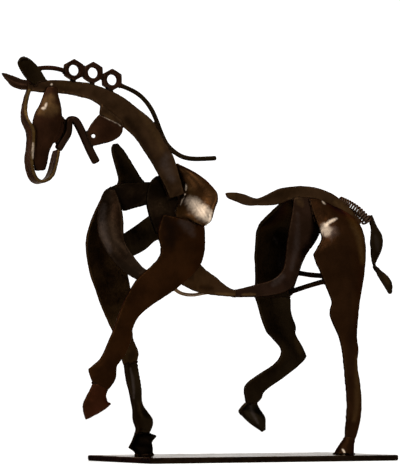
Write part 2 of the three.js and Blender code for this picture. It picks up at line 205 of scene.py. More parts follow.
ROLLED_STRETCH = (1.0, 1.0, 0.06)
BUMP_HEIGHT = 0.22 * MM
METALLIC = 0.97
WEAR = 0.36                            # how far the rubbed colour covers a worn edge


def add_node(tree, kind, inputs=None, **settings):
    node = tree.nodes.new(kind)
    for key, value in settings.items():
        setattr(node, key, value)
    for key, value in (inputs or {}).items():
        node.inputs[key].default_value = value
    return node


def noise(tree, place, scale, detail=4.0, roughness=0.55, stretch=None):
    if stretch:
        mapping = add_node(tree, "ShaderNodeMapping", {"Scale": stretch})
        tree.links.new(place, mapping.inputs["Vector"])
        place = mapping.outputs["Vector"]
    node = add_node(tree, "ShaderNodeTexNoise", {"Scale": scale, "Detail": detail, "Roughness": roughness})
    tree.links.new(place, node.inputs["Vector"])
    return node.outputs["Fac"]


def ramp(tree, source, low, high, to_low=0.0, to_high=1.0):
    node = add_node(tree, "ShaderNodeMapRange", {
        "From Min": low, "From Max": high, "To Min": to_low, "To Max": to_high,
    }, interpolation_type="SMOOTHSTEP")
    tree.links.new(source, node.inputs["Value"])
    return node.outputs["Result"]


def reckon(tree, operation, a, b):
    node = add_node(tree, "ShaderNodeMath", operation=operation)
    for socket, source in zip(node.inputs, (a, b)):
        if isinstance(source, float):
            socket.default_value = source
        else:
            tree.links.new(source, socket)
    return node.outputs["Value"]


def times(tree, a, b):
    return reckon(tree, "MULTIPLY", a, b)


def plus(tree, a, b):
    return reckon(tree, "ADD", a, b)


def blend(tree, share, below, above):
    node = add_node(tree, "ShaderNodeMix", data_type="RGBA")
    tree.links.new(share, node.inputs["Factor"])
    for socket, source in ((node.inputs["A"], below), (node.inputs["B"], above)):
        if isinstance(source, tuple):
            socket.default_value = (*source, 1)
        else:
            tree.links.new(source, socket)
    return node.outputs["Result"]


def stored(tree, name):
    return add_node(tree, "ShaderNodeAttribute", attribute_name=name).outputs["Fac"]


def patina(name, ground, stain, rubbed, gloss=0.34, edge=0.45):
    """Dark lacquered steel: ground and stain are its clouds, rubbed is the colour along worn edges.

    Gloss sets its roughness, and edge is how much it reflects where it turns away.
    """
    material, tree, shader = new_material(name)
    place = add_node(tree, "ShaderNodeTexCoord").outputs["Object"]
    clouds = noise(tree, place, CLOUD_SCALE, 5.0)
    mottle = noise(tree, place, MOTTLE_SCALE, 6.0, 0.6)
    grain = noise(tree, place, GRAIN_SCALE, 3.0)
    rolled = noise(tree, place, ROLLED_SCALE, 3.0, 0.5, ROLLED_STRETCH)
    colour = blend(tree, ramp(tree, clouds, 0.34, 0.68), ground, stain)
    colour = blend(tree, times(tree, ramp(tree, mottle, 0.52, 0.74), 0.4), colour, stain)
    patchy = ramp(tree, plus(tree, times(tree, mottle, 0.55), times(tree, rolled, 0.45)), 0.25, 0.62)
    # Heat colours, then gold tone with painted light, a painted sheen, and soot with painted shade go over
    # the clouds.
    for layer, least, most in LAYERS:
        share = times(tree, stored(tree, layer), ramp(tree, mottle, 0.25, 0.68, least, most))
        colour = blend(tree, share, colour, TINTS[layer])
    rim = times(tree, stored(tree, "rim"), ramp(tree, mottle, 0.38, 0.7))
    colour = blend(tree, times(tree, rim, WEAR), colour, rubbed)
    # Painted highlight: the cream colour of glints of light, broken up by patchy noise.
    highlight_share = times(tree, stored(tree, "bare"), plus(tree, times(tree, patchy, 0.6), 0.4))
    colour = blend(tree, highlight_share, colour, TINTS["bare"])
    tree.links.new(colour, shader.inputs["Base Color"])
    uneven = plus(tree, times(tree, clouds, 0.5), times(tree, mottle, 0.5))
    rough = ramp(tree, uneven, 0.3, 0.7, gloss - 0.08, gloss + 0.14)
    rough = plus(tree, rough, times(tree, highlight_share, 0.22))
    polish = stored(tree, "polish")
    rough = times(tree, rough, ramp(tree, polish, 0.0, 1.0, 1.0, 0.55))
    tree.links.new(rough, shader.inputs["Roughness"])
    height = plus(tree, mottle, plus(tree, times(tree, grain, 0.35), times(tree, rolled, 0.5)))
    bump = add_node(tree, "ShaderNodeBump", {"Distance": BUMP_HEIGHT})
    tree.links.new(ramp(tree, polish, 0.0, 1.0, 0.42, 0.05), bump.inputs["Strength"])
    tree.links.new(height, bump.inputs["Height"])
    tree.links.new(bump.outputs["Normal"], shader.inputs["Normal"])
    shader.inputs["Metallic"].default_value = METALLIC
    shader.inputs["Specular IOR Level"].default_value = 0.2
    shader.inputs["Specular Tint"].default_value = (edge, edge * 0.82, edge * 0.64, 1)
    return material


PATINA_COLOURS = {                     # ground, stain and rubbed edge
    "brown": ((0.0088, 0.0033, 0.0010), (0.0150, 0.0058, 0.0020), (0.050, 0.027, 0.012)),
    "umber": ((0.0090, 0.0040, 0.0020), (0.0150, 0.0070, 0.0040), (0.050, 0.029, 0.016)),
    "olive": ((0.0125, 0.0058, 0.0022), (0.0260, 0.0128, 0.0055), (0.065, 0.04, 0.021)),
    "rust": ((0.0084, 0.0029, 0.0007), (0.0160, 0.0055, 0.0015), (0.050, 0.022, 0.008)),
    "hoof": ((0.0137, 0.0039, 0.0012), (0.0260, 0.0073, 0.0030), (0.055, 0.024, 0.010)),
    # a black tone, also used on the far side as painted shade
    "black": ((0.0046, 0.0025, 0.0009), (0.0100, 0.0058, 0.0025), (0.030, 0.020, 0.012)),
    "sable": ((0.0100, 0.0045, 0.0014), (0.0210, 0.0105, 0.0036), (0.035, 0.022, 0.012)),
    # near black painted shade for the plates in the hollow of the chest and the far fore hoof
    "jet_shade": ((0.0015, 0.0008, 0.0003), (0.0033, 0.0018, 0.0009), (0.018, 0.012, 0.007)),
    "slate": ((0.0072, 0.0045, 0.0020), (0.0158, 0.0105, 0.0054), (0.040, 0.030, 0.020)),
    "grey": ((0.0052, 0.0027, 0.0014), (0.0092, 0.0054, 0.0031), (0.035, 0.023, 0.014)),
    "plum": ((0.0095, 0.0036, 0.0016), (0.0205, 0.0078, 0.0034), (0.045, 0.022, 0.013)),
    "bronze": ((0.0150, 0.0060, 0.0018), (0.0260, 0.0115, 0.0038), (0.10, 0.060, 0.028)),
    "gilt": ((0.0270, 0.0140, 0.0036), (0.0480, 0.0260, 0.0075), (0.12, 0.075, 0.036)),
    "tan": ((0.080, 0.047, 0.027), (0.170, 0.115, 0.076), (0.20, 0.15, 0.10)),
    "fastener": ((0.0075, 0.0025, 0.0010), (0.0160, 0.0060, 0.0030), (0.070, 0.040, 0.026)),
    "spring": ((0.0230, 0.0115, 0.0068), (0.0500, 0.0300, 0.0185), (0.09, 0.06, 0.04)),
    "base": ((0.0030, 0.0015, 0.0006), (0.0068, 0.0034, 0.0018), (0.035, 0.021, 0.012)),
    "weld": ((0.0055, 0.0026, 0.0012), (0.0140, 0.0070, 0.0038), (0.05, 0.032, 0.02)),
}
PATINA_FINISH = {
    "jet_shade": {"edge": 0.35},
    "bronze": {"gloss": 0.32, "edge": 0.5},
    "gilt": {"edge": 0.35},
    "tan": {"edge": 0.8},
    "weld": {"gloss": 0.4},
}
PATINAS = {
    name: patina(name + " patina", *colours, **PATINA_FINISH.get(name, {}))
    for name, colours in PATINA_COLOURS.items()
}
print("patinas:", sorted(PATINAS))

# %% [markdown]
# Every strap and sheet was cut with a torch, then bent and hammered. The solid in the frame has its outline
# and bend as flat facets. One could sculpt each piece anew. Instead a copy is merged, its cut edges are
# creased, and Subdivision Surface rounds the facets between them. Remesh then lays an even skin over it, fine
# enough to carry dents, and two Displace modifiers hammer the faces and roughen the edges.

# %% Working a copy of a solid
SKIN = 0.66 * MM                     # between the points of the remeshed skin
RIM_REACH = 1.6 * MM                 # how far the rubbed rim reaches in from a cut edge
SHEET_EDGE = math.radians(48)        # an edge sharper than this is a cut edge of a sheet
ROD_EDGE = math.radians(72)          # and of a rod's end
CREASE = 0.92
DENT_DEPTH = 0.7 * MM
CUT_DEPTH = 0.9 * MM
ROD_SKIN = SKIN * 0.8
ROD_SWELL = 0.3                      # of the radius
ROD_DENTS = 0.3 * MM


def clouds_texture(name, size):
    texture = bpy.data.textures.new(name, "CLOUDS")
    texture.noise_scale = size
    return texture


DENTS = clouds_texture("dents", 13 * MM)
RAGGED = clouds_texture("ragged cut", 4 * MM)


def apply_modifier(piece, kind, **settings):
    modifier = piece.modifiers.new(kind.lower(), kind)
    for key, value in settings.items():
        setattr(modifier, key, value)
    bpy.ops.object.modifier_apply(modifier=modifier.name)


def displace(piece, texture, depth, level, group=""):
    apply_modifier(piece, "DISPLACE", texture=texture, texture_coords="LOCAL", strength=depth,
                   mid_level=level, vertex_group=group)


def merged_copy(node, name):
    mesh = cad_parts[node].data.copy()
    mesh.materials.clear()
    piece = bpy.data.objects.new(name, mesh)
    bpy.context.scene.collection.objects.link(piece)
    select_only(piece)
    bpy.ops.mesh.customdata_custom_splitnormals_clear()
    bpy.ops.object.mode_set(mode="EDIT")
    bpy.ops.mesh.select_all(action="SELECT")
    bpy.ops.mesh.remove_doubles(threshold=0.01 * MM)
    bpy.ops.mesh.tris_convert_to_quads(face_threshold=math.radians(25), shape_threshold=math.radians(50))
    bpy.ops.object.mode_set(mode="OBJECT")
    return piece


def cut_edges(piece, sharp):
    """Creases the edges sharper than an angle, and returns points spread along them."""
    shape = bmesh.new()
    shape.from_mesh(piece.data)
    crease = shape.edges.layers.float.get("crease_edge") or shape.edges.layers.float.new("crease_edge")
    points = []
    for edge in shape.edges:
        if edge.is_manifold and edge.calc_face_angle(0) > sharp:
            edge[crease] = CREASE
            a, b = (vert.co for vert in edge.verts)
            steps = max(1, int((b - a).length / SKIN))
            points += [a.lerp(b, step / steps) for step in range(steps)]
    shape.to_mesh(piece.data)
    shape.free()
    return points


def vertex_places(mesh):
    places = np.zeros(len(mesh.vertices) * 3, np.float32)
    mesh.vertices.foreach_get("co", places)
    return places.reshape(-1, 3)


def store(piece, name, values):
    layer = piece.data.attributes.get(name) or piece.data.attributes.new(name, "FLOAT", "POINT")
    layer.data.foreach_set("value", np.asarray(values, np.float32))


def recall(piece, name):
    values = np.zeros(len(piece.data.vertices), np.float32)
    piece.data.attributes[name].data.foreach_get("value", values)
    return values


def point_tree(points):
    tree = kdtree.KDTree(len(points))
    for index, point in enumerate(points):
        tree.insert(point, index)
    tree.balance()
    return tree


def nearness(places, points, reach):
    """One on the points, falling to nought at reach from them."""
    tree = point_tree(points)
    away = np.array([tree.find(place)[2] for place in places])
    return np.clip(1 - away / reach, 0, 1)


def weigh(piece, name, values):
    group = piece.vertex_groups.new(name=name)
    for index in np.flatnonzero(values > 0.02):
        group.add((int(index),), float(values[index]), "REPLACE")


def work_sheet(node):
    piece = merged_copy(node, node + "_worked")
    edges = cut_edges(piece, SHEET_EDGE)
    apply_modifier(piece, "SUBSURF", levels=2, render_levels=2)
    apply_modifier(piece, "REMESH", mode="VOXEL", voxel_size=SKIN)
    apply_modifier(piece, "SMOOTH", factor=0.5, iterations=6)
    rim = nearness(vertex_places(piece.data), edges, RIM_REACH)
    weigh(piece, "rim", rim)
    displace(piece, DENTS, DENT_DEPTH, 0.15)
    displace(piece, RAGGED, CUT_DEPTH, -0.4, "rim")
    apply_modifier(piece, "SMOOTH", factor=0.5, iterations=4)
    piece.vertex_groups.clear()
    store(piece, "rim", rim)
    bpy.ops.object.shade_smooth()
    return piece


def work_rod(node, radius):
    """A six-sided rod swells back to its full round, because subdivision and smoothing make it thinner."""
    piece = merged_copy(node, node + "_worked")
    edges = cut_edges(piece, ROD_EDGE)
    apply_modifier(piece, "SUBSURF", levels=2, render_levels=2)
    apply_modifier(piece, "REMESH", mode="VOXEL", voxel_size=ROD_SKIN)
    apply_modifier(piece, "SMOOTH", factor=0.5, iterations=6)
    apply_modifier(piece, "DISPLACE", strength=radius * ROD_SWELL, mid_level=0.0)
    displace(piece, DENTS, ROD_DENTS, 0.5)
    store(piece, "rim", nearness(vertex_places(piece.data), edges, RIM_REACH))
    bpy.ops.object.shade_smooth()
    return piece


worked = {}


def finish_piece(piece, node, patina_name):
    piece.data.materials.clear()
    piece.data.materials.append(PATINAS[patina_name])
    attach(piece, "root")
    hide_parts(node)
    worked[node] = piece


# %% [markdown]
# Sheets and straps. One steel could serve them all, but scrap comes from many places, so each row names the
# solid and the patina it shows. The near foreleg is rusty and the breast strap is a grey brown. The far side
# and the plates in the hollow of the chest are nearly black, and that darkness is painted shade. The face is
# plum under a golden brow of gold tone and painted light, the muzzle bar is gilt, and the shoulder cap is
# bronzed.

# %% Work the sheets
SHEETS = {                           # patina and slot
    "neck_strap": ("olive", "brown_steel"),
    "left_ear": ("black", "black_steel"),
    "right_ear": ("umber", "brown_steel"),
    "muzzle_bar": ("gilt", "bronzed_steel"),
    "face_sheet": ("plum", "bronzed_steel"),
    "cheek_sheet": ("plum", "black_steel"),
    "throat_sheet": ("plum", "brown_steel"),
    "left_shoulder_blade": ("jet_shade", "black_steel"),
    "right_shoulder_blade": ("black", "black_steel"),
    "chest_plate": ("jet_shade", "black_steel"),
    "shoulder_cap": ("bronze", "bronzed_steel"),
    "left_foreleg": ("rust", "brown_steel"),
    "left_fore_hoof": ("hoof", "brown_steel"),
    "right_foreleg": ("sable", "black_steel"),
    "right_cannon": ("black", "black_steel"),
    "right_fore_hoof": ("jet_shade", "black_steel"),
    "breast_strap": ("grey", "brown_steel"),
    "cross_strap": ("black", "black_steel"),
    "croup_strap": ("olive", "brown_steel"),
    "flank_strap": ("umber", "brown_steel"),
    "girth_strap": ("olive", "brown_steel"),
    "left_hind_leg": ("brown", "brown_steel"),
    "left_hind_hoof": ("brown", "brown_steel"),
    "right_thigh": ("black", "black_steel"),
    "right_hind_leg": ("black", "black_steel"),
    "right_hind_hoof": ("slate", "black_steel"),
    "tail_strip": ("black", "black_steel"),
}
for node, (patina_name, slot) in SHEETS.items():
    finish_piece(work_sheet(node), node, patina_name)
print("sheets worked:", len(SHEETS), "faces:", sum(len(o.data.polygons) for o in worked.values()))

# %% [markdown]
# Rods make the jaw, the mane, the belly and the two ties between the thighs. A rod could be a curve with a
# round bevel. Its solid already follows the bent line with six sides, so a copy of it is subdivided,
# remeshed and swollen back to its full round.

# %% Work the rods
RODS = {                             # radius, patina and slot
    "jaw_rod": (3.3 * MM, "umber", "brown_steel"),
    "mane_rod_front": (1.9 * MM, "fastener", "fastener_steel"),
    "mane_rod_rear": (1.9 * MM, "black", "black_steel"),
    "belly_rod": (1.5 * MM, "tan", "bronzed_steel"),
    "thigh_tie_upper": (2.1 * MM, "umber", "black_steel"),
    "thigh_tie_lower": (2.1 * MM, "sable", "black_steel"),
}
for node, (radius, patina_name, slot) in RODS.items():
    finish_piece(work_rod(node, radius), node, patina_name)
print("rods worked:", len(RODS))

# %% [markdown]
# The mane holds three old hexagon nuts. A nut is a six-sided prism whose corners were turned away at 30
# degrees and whose bore was tapped. So one is made as in the workshop: a prism, kept only inside a turned
# blank, then cut with a tap. The tap is a fine cylinder whose points are moved in and out along a helix.

# %% Model one nut
NUT_FLATS = 17 * MM
NUT_THICK = 7 * MM
NUT_BORE = 10.4 * MM
NUT_CORNER = NUT_FLATS / 2 / math.cos(math.pi / 6)
THREAD_PITCH = 1.5 * MM
THREAD_DEPTH = 0.55 * MM
THREAD_CUTS = 35                     # rings of points along the tap
COUNTERSINK = 0.8 * MM
CHAMFER = 0.16                       # of the corner's radius
NUT_SKIN = 0.36 * MM
NUT_RIM = 0.9 * MM
NECK_TURN = math.radians(-10)        # the nuts turn with the neck


def boolean(piece, tool, operation):
    select_only(piece)
    apply_modifier(piece, "BOOLEAN", object=tool, operation=operation, solver="EXACT")
    bpy.data.objects.remove(tool)


def select_edges(piece, wanted):
    bpy.ops.object.mode_set(mode="EDIT")
    bpy.ops.mesh.select_mode(type="EDGE")
    bpy.ops.mesh.select_all(action="DESELECT")
    bpy.ops.object.mode_set(mode="OBJECT")
    for edge in piece.data.edges:
        edge.select = wanted(*(piece.data.vertices[index].co for index in edge.vertices))
    bpy.ops.object.mode_set(mode="EDIT")


def turned_blank():
    flatten = math.tan(math.radians(30))
    bpy.ops.mesh.primitive_cylinder_add(vertices=64, radius=NUT_CORNER * 1.002, depth=NUT_THICK / flatten)
    bpy.ops.object.mode_set(mode="EDIT")
    bpy.ops.mesh.select_mode(type="EDGE")
    bpy.ops.mesh.select_all(action="DESELECT")
    bpy.ops.mesh.edges_select_sharp(sharpness=math.radians(60))
    bpy.ops.mesh.bevel(offset=NUT_CORNER * CHAMFER, segments=1, affect="EDGES")
    bpy.ops.mesh.select_all(action="SELECT")
    bpy.ops.transform.resize(value=(1, 1, flatten))
    bpy.ops.object.mode_set(mode="OBJECT")
    return bpy.context.object


def thread_tap():
    depth = NUT_THICK + 2 * MM
    bpy.ops.mesh.primitive_cylinder_add(vertices=40, radius=NUT_BORE / 2, depth=depth)
    tap = bpy.context.object
    select_edges(tap, lambda a, b: abs(a.z - b.z) > depth / 2)
    bpy.ops.mesh.subdivide(number_cuts=THREAD_CUTS)
    bpy.ops.object.mode_set(mode="OBJECT")
    for vert in tap.data.vertices:
        turns = vert.co.z / THREAD_PITCH + math.atan2(vert.co.y, vert.co.x) / (2 * math.pi)
        ridge = abs(2 * (turns % 1) - 1) * THREAD_DEPTH
        mouth = max(0, abs(vert.co.z) - NUT_THICK / 2 + COUNTERSINK)
        radius = max(NUT_BORE / 2 - ridge, NUT_BORE / 2 - THREAD_DEPTH + mouth)
        vert.co.xy = vert.co.xy.normalized() * radius
    return tap


def model_nut():
    bpy.ops.object.select_all(action="DESELECT")
    bpy.ops.mesh.primitive_cylinder_add(vertices=6, radius=NUT_CORNER, depth=NUT_THICK)
    nut = bpy.context.object
    boolean(nut, turned_blank(), "INTERSECT")
    boolean(nut, thread_tap(), "DIFFERENCE")
    edges = cut_edges(nut, math.radians(24))
    apply_modifier(nut, "REMESH", mode="VOXEL", voxel_size=NUT_SKIN)
    apply_modifier(nut, "SMOOTH", factor=0.5, iterations=2)
    store(nut, "rim", nearness(vertex_places(nut.data), edges, NUT_RIM))
    bpy.ops.object.shade_smooth()
    return nut


def set_nut(nut, node):
    low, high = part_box(node)
    centre = Vector(((low.x + high.x) / 2, (low.y + high.y) / 2, high.z - NUT_CORNER))
    piece = bpy.data.objects.new(node + "_worked", nut.data.copy())
    bpy.context.scene.collection.objects.link(piece)
    upright = Matrix.Rotation(math.pi / 2, 4, "X")
    piece.data.transform(Matrix.Translation(centre) @ Matrix.Rotation(NECK_TURN, 4, "Z") @ upright)
    finish_piece(piece, node, "fastener")


nut = model_nut()
for node in ("mane_nut_front", "mane_nut_middle", "mane_nut_rear"):
    set_nut(nut, node)
print("faces on a nut:", len(nut.data.polygons))
bpy.data.objects.remove(nut)

# %% [markdown]
# A closely wound spring lies along the dock. A helix could be swept with the Screw modifier along a straight
# axis, but this one bends with the croup. So its wire is a poly curve, wound round a smooth line, with a
# round bevel, and it is then turned into a mesh.

# %% Wind the spring
SPRING_LINE = [
    Vector(point) * MM
    for point in ((101, 1.5, 236), (111, 1.5, 232.5), (122, 1.5, 226.5), (132, 1.5, 217.5))
]
SPRING_RADIUS = 4.2 * MM
SPRING_WIRE = 0.95 * MM
SPRING_TURNS = 14
STEPS_PER_TURN = 24


def on_line(points, share):
    """A place on a smooth line through the points, and its direction."""
    spans = len(points) - 1
    span = min(int(share * spans), spans - 1)
    t = share * spans - span
    b, c = points[span], points[span + 1]
    a = points[span - 1] if span else b * 2 - c
    d = points[span + 2] if span + 2 <= spans else c * 2 - b
    bend = 2 * a - 5 * b + 4 * c - d
    sway = 3 * (b - c) + d - a
    place = b + (c - a) * (t / 2) + bend * (t * t / 2) + sway * (t ** 3 / 2)
    run = (c - a) / 2 + bend * t + sway * (1.5 * t * t)
    return place, run.normalized()


def wind_spring():
    count = SPRING_TURNS * STEPS_PER_TURN
    data = bpy.data.curves.new("tail_spring_worked", "CURVE")
    data.dimensions = "3D"
    data.bevel_depth = SPRING_WIRE
    data.bevel_resolution = 3
    data.use_fill_caps = True
    wire = data.splines.new("POLY")
    wire.points.add(count)
    aside = Vector((0, 1, 0))
    for step, point in enumerate(wire.points):
        place, run = on_line(SPRING_LINE, step / count)
        turn = 2 * math.pi * step / STEPS_PER_TURN
        outward = aside * math.cos(turn) + aside.cross(run) * math.sin(turn)
        point.co = (*(place + outward * SPRING_RADIUS), 1)
    spring = bpy.data.objects.new("tail_spring_worked", data)
    bpy.context.scene.collection.objects.link(spring)
    select_only(spring)
    bpy.ops.object.convert(target="MESH")
    bpy.ops.object.shade_smooth()
    return bpy.context.object


finish_piece(wind_spring(), "tail_spring", "spring")
print("faces on the spring:", len(worked["tail_spring"].data.polygons))

# %% [markdown]
# The base is a sheared steel plate. A cube at its size becomes the plate: its four upright edges are rounded,
# then the edges of top and underside are just broken, and a fine skin lets the sheared sides wander a little.
# The underside stays flat, because the plate stands on it.

# %% Base plate
PLATE_CORNER = 3 * MM
PLATE_EDGE = 0.7 * MM
PLATE_SKIN = 1.1 * MM
SIDE_REACH = 3 * MM                  # how far in from its edges the plate is uneven
SIDE_WANDER = 0.9 * MM
UNDERSIDE = 0.5 * MM                 # points lower than this are laid flat
TOP_SKIN = 0.6 * MM                  # points this near the top are polished


def model_plate():
    low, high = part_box("base_plate")
    bpy.ops.object.select_all(action="DESELECT")
    bpy.ops.mesh.primitive_cube_add(size=1, location=(0, 0, 0))
    plate = bpy.context.object
    plate.name = "base_plate_worked"
    bpy.ops.object.mode_set(mode="EDIT")
    bpy.ops.transform.resize(value=high - low)
    bpy.ops.transform.translate(value=(low + high) / 2)
    bpy.ops.object.mode_set(mode="OBJECT")
    select_edges(plate, lambda a, b: abs(a.z - b.z) > 1 * MM)
    bpy.ops.mesh.bevel(offset=PLATE_CORNER, segments=4, affect="EDGES")
    bpy.ops.object.mode_set(mode="OBJECT")
    select_edges(plate, lambda a, b: abs(a.z - b.z) < 0.1 * MM)
    bpy.ops.mesh.bevel(offset=PLATE_EDGE, segments=2, affect="EDGES")
    bpy.ops.object.mode_set(mode="OBJECT")
    edges = cut_edges(plate, math.radians(20))
    apply_modifier(plate, "REMESH", mode="VOXEL", voxel_size=PLATE_SKIN)
    apply_modifier(plate, "SMOOTH", factor=0.5, iterations=3)
    weigh(plate, "sides", nearness(vertex_places(plate.data), edges, SIDE_REACH))
    displace(plate, DENTS, SIDE_WANDER, 0.5, "sides")
    plate.vertex_groups.clear()
    places = vertex_places(plate.data)
    places[:, 2] = np.where(places[:, 2] < UNDERSIDE, 0, places[:, 2])
    plate.data.vertices.foreach_set("co", places.ravel())
    store(plate, "rim", nearness(places, edges, RIM_REACH))
    store(plate, "polish", places[:, 2] > high.z - TOP_SKIN)
    bpy.ops.object.shade_smooth()
    return plate


finish_piece(model_plate(), "base_plate", "base")
print("faces on the plate:", len(worked["base_plate"].data.polygons))

# %% [markdown]
# The pieces are welded where they meet. A bead is a row of small lumps of molten steel, each laid on the
# last. It could be drawn along each joint by hand. Here the joints are found: wherever the cut edge of one
# piece comes close to another piece, a lump is set, and Remesh melts the lumps together. The same places give
# the heat colours.

# %% Weld beads
WELD_GAP = 1.1 * MM                  # pieces nearer than this are welded
WELD_STEP = 1.5 * MM                 # between the lumps
WELD_RADIUS = 1.15 * MM
WELD_SHIFT = 0.25                    # millimetres that a lump may lie off the joint
WELD_SKIN = 0.55 * MM
WELD_ROUGHNESS = 0.4 * MM
WELD_RIM = 0.45                      # a point with more rim than this is on a cut edge
HEAT_REACH = 9 * MM
random.seed(7)


def boxes_meet(a, b):
    return all(a[0][i] - WELD_GAP < b[1][i] and b[0][i] - WELD_GAP < a[1][i] for i in range(3))


def joint_places():
    graph = bpy.context.evaluated_depsgraph_get()
    trees = {node: bvhtree.BVHTree.FromObject(piece, graph) for node, piece in worked.items()}
    boxes = {node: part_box(node) for node in worked}
    found = []
    for node, piece in worked.items():
        if "rim" not in piece.data.attributes:
            continue
        edge = vertex_places(piece.data)[recall(piece, "rim") > WELD_RIM]
        for other, tree in trees.items():
            if other == node or not boxes_meet(boxes[node], boxes[other]):
                continue
            low, high = (np.array(corner) for corner in boxes[other])
            close = edge[((edge > low - WELD_GAP) & (edge < high + WELD_GAP)).all(1)]
            for place in close:
                hit = tree.find_nearest(Vector(place), WELD_GAP)[0]
                if hit:
                    found.append((Vector(place) + hit) / 2)
    return found


def thinned(points, step):
    """Keeps points that stand at least a step apart."""
    kept = {}
    for point in points:
        cell = tuple(int(math.floor(x / step)) for x in point)
        around = [tuple(map(sum, zip(cell, shift))) for shift in product((-1, 0, 1), repeat=3)]
        if all((other - point).length > step for key in around for other in kept.get(key, ())):
            kept.setdefault(cell, []).append(point)
    return [point for points_here in kept.values() for point in points_here]


def lay_beads(points):
    bpy.ops.object.select_all(action="DESELECT")
    bpy.ops.mesh.primitive_ico_sphere_add(subdivisions=2, radius=1)
    lump = bpy.context.object
    shape = vertex_places(lump.data)
    faces = np.array([list(polygon.vertices) for polygon in lump.data.polygons])
    bpy.data.objects.remove(lump)
    places = []
    for point in points:
        size = WELD_RADIUS * random.uniform(0.8, 1.2)
        shift = Vector([random.uniform(-WELD_SHIFT, WELD_SHIFT) * MM for _ in range(3)])
        places.append(shape * size + np.array(point + shift))
    rows = [faces + index * len(shape) for index in range(len(points))]
    mesh = bpy.data.meshes.new("weld_beads")
    mesh.from_pydata(np.concatenate(places).tolist(), [], np.concatenate(rows).tolist())
    beads = bpy.data.objects.new("weld_beads", mesh)
    bpy.context.scene.collection.objects.link(beads)
    select_only(beads)
    apply_modifier(beads, "REMESH", mode="VOXEL", voxel_size=WELD_SKIN)
    apply_modifier(beads, "SMOOTH", factor=0.5, iterations=2)
    displace(beads, RAGGED, WELD_ROUGHNESS, 0.5)
    bpy.ops.object.shade_smooth()
    beads.data.materials.append(PATINAS["weld"])
    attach(beads, "root")
    return beads


weld_points = thinned(joint_places(), WELD_STEP)
beads = lay_beads(weld_points)
print("weld lumps:", len(weld_points), "faces on the beads:", len(beads.data.polygons))

# %% [markdown]
# The last touches are painted light and shade over real tone: gold tone with painted light, painted
# highlights where glints of light fall, a painted grey sheen along folds, and soot with painted shade. They
# could be painted as textures, but a mesh this fine can hold them as values on its points. Each stroke is a
# short line near the surface, in millimetres, with a reach and a strength. It thins to its ends, and noise
# breaks it up.

